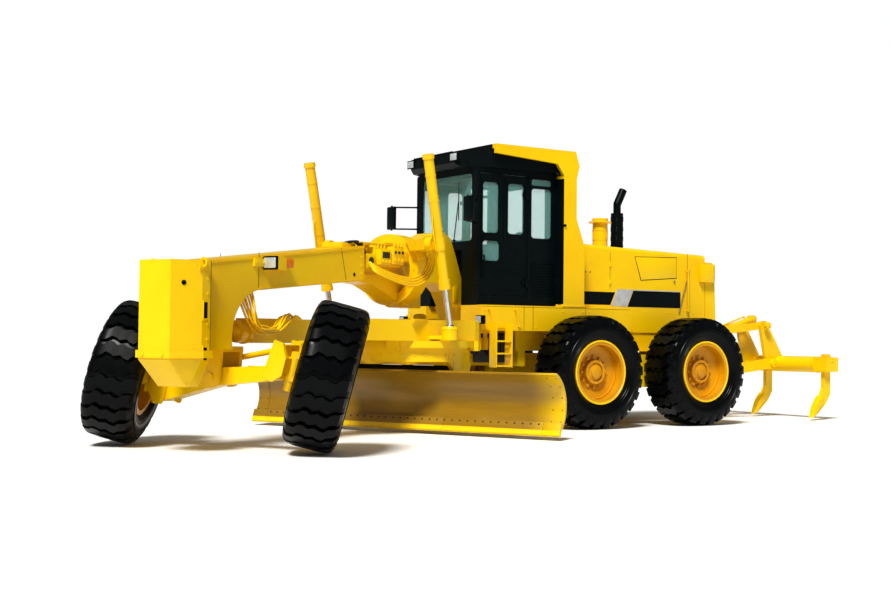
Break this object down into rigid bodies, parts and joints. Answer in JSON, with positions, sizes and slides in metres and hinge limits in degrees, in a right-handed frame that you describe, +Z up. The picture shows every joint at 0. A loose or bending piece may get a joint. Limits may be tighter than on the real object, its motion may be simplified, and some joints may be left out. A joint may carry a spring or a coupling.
{
  "type": "motor grader",
  "caption": "Articulated motor grader with gooseneck frame, leaning front wheels, drawbar, circle and curved blade, closed cab, tandem rear wheels and rear ripper.",
  "frame": {"origin": "on the ground at the middle of the parked machine's footprint", "axes": "+X towards the rear frame's front, +Y to the machine's left, +Z up"},
  "size_m": [12.4815, 5.7338, 3.96],
  "materials": {
    "yellow_paint": "gloss",
    "rim_yellow": "satin",
    "black_paint": "satin",
    "blade_steel": "satin",
    "tyre": "matte",
    "tinted_glass": "gloss",
    "lamp_housing": "gloss",
    "seat_fabric": "matte",
    "engine_iron": "matte",
    "chromed_rod": "polished"
  },
  "bodies": {
    "rear": {"air_precleaner": "yellow_paint", "cab_floor": "black_paint", "cab_front": "black_paint", "cab_glass": "tinted_glass", "cab_rear": "black_paint", "cab_roof": "black_paint", "cab_sides": "black_paint", "engine_block": "engine_iron", "exhaust_stack": "black_paint", "hood": "yellow_paint", "ladders": "black_paint", "mirrors": "black_paint", "rear_axle": "yellow_paint", "rear_frame": "yellow_paint", "rear_grille": "black_paint", "rops_canopy": "yellow_paint", "seat": "seat_fabric", "seat_base": "black_paint", "side_decks": "yellow_paint", "steering_console": "black_paint"},
    "front": {"nose_block": "yellow_paint", "front_beam": "yellow_paint", "ring_frame": "yellow_paint", "valve_block": "black_paint", "lifter_arms": "yellow_paint", "head_lamps": "lamp_housing", "front_axle": "yellow_paint"},
    "lean_left": {"lean_yoke_left": "yellow_paint"},
    "lean_right": {"lean_yoke_right": "yellow_paint"},
    "lean_bar": {"lean_bar": "yellow_paint"},
    "steer_left": {"knuckle_left": "yellow_paint"},
    "steer_right": {"knuckle_right": "yellow_paint"},
    "door_left": {"door_left": "black_paint", "door_glass_left": "tinted_glass"},
    "door_right": {"door_right": "black_paint", "door_glass_right": "tinted_glass"},
    "drawbar": {"drawbar": "yellow_paint"},
    "circle": {"circle": "yellow_paint"},
    "blade_carrier": {"blade_carrier": "yellow_paint"},
    "blade": {"moldboard": "blade_steel"},
    "lift_barrel_left": {"lift_barrel_left": "yellow_paint"},
    "lift_barrel_right": {"lift_barrel_right": "yellow_paint"},
    "lift_rod_left": {"lift_rod_left": "chromed_rod"},
    "lift_rod_right": {"lift_rod_right": "chromed_rod"},
    "ripper_arms": {"ripper_arms": "yellow_paint"},
    "ripper_links": {"ripper_links": "yellow_paint"},
    "ripper_beam": {"ripper_beam": "yellow_paint"},
    "wheel_front_left": {"tyre_front_left": "tyre", "rim_front_left": "rim_yellow"},
    "wheel_front_right": {"tyre_front_right": "tyre", "rim_front_right": "rim_yellow"},
    "wheel_rear_left_1": {"tyre_rear_left_1": "tyre", "rim_rear_left_1": "rim_yellow"},
    "wheel_rear_left_2": {"tyre_rear_left_2": "tyre", "rim_rear_left_2": "rim_yellow"},
    "wheel_rear_right_1": {"tyre_rear_right_1": "tyre", "rim_rear_right_1": "rim_yellow"},
    "wheel_rear_right_2": {"tyre_rear_right_2": "tyre", "rim_rear_right_2": "rim_yellow"}
  },
  "joints": [
    {"name": "articulation", "type": "hinge", "parent": "rear", "child": "front", "pos_m": [0.054, -1.288, 1.1], "axis": [0, 0, 1], "range_deg": [-50, 0]},
    {"name": "lean_left", "type": "hinge", "parent": "front", "child": "lean_left", "pos_m": [4.53316, 1.71826, 0.86619], "axis": [-0.9063, -0.4226, 0], "range_deg": [-36, 0]},
    {"name": "lean_right", "type": "hinge", "parent": "front", "child": "lean_right", "pos_m": [5.22469, 0.23527, 0.58667], "axis": [-0.9063, -0.4226, 0], "range_deg": [-36, 0]},
    {"name": "lean_bar", "type": "hinge", "parent": "lean_left", "child": "lean_bar", "pos_m": [4.27604, 1.70178, 1.16168], "axis": [-0.9063, -0.4226, 0], "range_deg": [0, 36]},
    {"name": "steer_left", "type": "hinge", "parent": "lean_left", "child": "steer_left", "pos_m": [4.47274, 1.84784, 0.82084], "axis": [-0.1278, 0.274, 0.9532], "range_deg": [-62.5, 0]},
    {"name": "steer_right", "type": "hinge", "parent": "lean_right", "child": "steer_right", "pos_m": [5.28512, 0.10569, 0.63202], "axis": [-0.1278, 0.274, 0.9532], "range_deg": [-62.5, 0]},
    {"name": "spin_front_left", "type": "hinge", "parent": "steer_left", "child": "wheel_front_left", "pos_m": [4.15265, 2.05627, 0.83341], "axis": [-0.8361, 0.4871, -0.2521], "continuous": true},
    {"name": "spin_front_right", "type": "hinge", "parent": "steer_right", "child": "wheel_front_right", "pos_m": [5.56083, -0.06572, 0.83366], "axis": [-0.7917, 0.5507, -0.2645], "continuous": true},
    {"name": "spin_rear_left_1", "type": "hinge", "parent": "rear", "child": "wheel_rear_left_1", "pos_m": [-1.176, -0.013, 0.8], "axis": [0, 1, 0], "continuous": true},
    {"name": "spin_rear_left_2", "type": "hinge", "parent": "rear", "child": "wheel_rear_left_2", "pos_m": [-3.196, -0.013, 0.8], "axis": [0, 1, 0], "continuous": true},
    {"name": "spin_rear_right_1", "type": "hinge", "parent": "rear", "child": "wheel_rear_right_1", "pos_m": [-1.176, -2.563, 0.8], "axis": [0, 1, 0], "continuous": true},
    {"name": "spin_rear_right_2", "type": "hinge", "parent": "rear", "child": "wheel_rear_right_2", "pos_m": [-3.196, -2.563, 0.8], "axis": [0, 1, 0], "continuous": true},
    {"name": "door_left", "type": "hinge", "parent": "rear", "child": "door_left", "pos_m": [-0.406, -0.482, 2.6], "axis": [0, 0, 1], "range_deg": [0, 155]},
    {"name": "door_right", "type": "hinge", "parent": "rear", "child": "door_right", "pos_m": [-0.406, -2.094, 2.6], "axis": [0, 0, -1], "range_deg": [0, 155]},
    {"name": "drawbar_lift", "type": "hinge", "parent": "front", "child": "drawbar", "pos_m": [4.67617, 0.86735, 1.31], "axis": [-0.4226, 0.9063, 0], "range_deg": [-8, 6]},
    {"name": "circle_turn", "type": "hinge", "parent": "drawbar", "child": "circle", "pos_m": [1.50409, -0.61181, 1.2], "axis": [0, 0, -1], "range_deg": [-38, 55]},
    {"name": "blade_tip", "type": "hinge", "parent": "circle", "child": "blade_carrier", "pos_m": [1.46784, -0.62872, 0.33], "axis": [-0.4226, 0.9063, 0], "range_deg": [-5, 25]},
    {"name": "blade_shift", "type": "slide", "parent": "blade_carrier", "child": "blade", "axis": [-0.4226, 0.9063, 0], "range_m": [-0.8, 0.8]},
    {"name": "lift_barrel_left", "type": "hinge", "parent": "front", "child": "lift_barrel_left", "pos_m": [1.72735, 0.51844, 2.45], "axis": [-0.4226, 0.9063, 0], "range_deg": [-5.5, 4.5]},
    {"name": "lift_rod_left", "type": "slide", "parent": "lift_barrel_left", "child": "lift_rod_left", "axis": [-0.2294, -0.107, -0.9674], "range_m": [-0.33, 0.43]},
    {"name": "lift_barrel_right", "type": "hinge", "parent": "front", "child": "lift_barrel_right", "pos_m": [2.51342, -1.1673, 2.45], "axis": [-0.4226, 0.9063, 0], "range_deg": [-5.5, 4.5]},
    {"name": "lift_rod_right", "type": "slide", "parent": "lift_barrel_right", "child": "lift_rod_right", "axis": [-0.2294, -0.107, -0.9674], "range_m": [-0.33, 0.43]},
    {"name": "ripper_lift", "type": "hinge", "parent": "rear", "child": "ripper_arms", "pos_m": [-4.406, -1.288, 0.736], "axis": [0, 1, 0], "range_deg": [-18, 16]},
    {"name": "ripper_links", "type": "hinge", "parent": "rear", "child": "ripper_links", "pos_m": [-4.266, -1.288, 1.356], "axis": [0, 1, 0], "range_deg": [-18, 16]},
    {"name": "ripper_beam", "type": "hinge", "parent": "ripper_arms", "child": "ripper_beam", "pos_m": [-5.84668, -1.288, 0.90014], "axis": [0, 1, 0], "range_deg": [-16, 18]}
  ],
  "couplings": [
    {"joint": "lean_right", "follows": "lean_left", "ratio": 1},
    {"joint": "lean_bar", "follows": "lean_left", "ratio": -1},
    {"joint": "steer_right", "follows": "steer_left", "ratio": 1},
    {"joint": "lift_barrel_left", "follows": "drawbar_lift", "ratio": 0.65},
    {"joint": "lift_barrel_right", "follows": "drawbar_lift", "ratio": 0.65},
    {"joint": "lift_rod_left", "follows": "drawbar_lift", "m_per_rad": -3},
    {"joint": "lift_rod_right", "follows": "drawbar_lift", "m_per_rad": -3},
    {"joint": "ripper_links", "follows": "ripper_lift", "ratio": 1},
    {"joint": "ripper_beam", "follows": "ripper_lift", "ratio": -1}
  ]
}
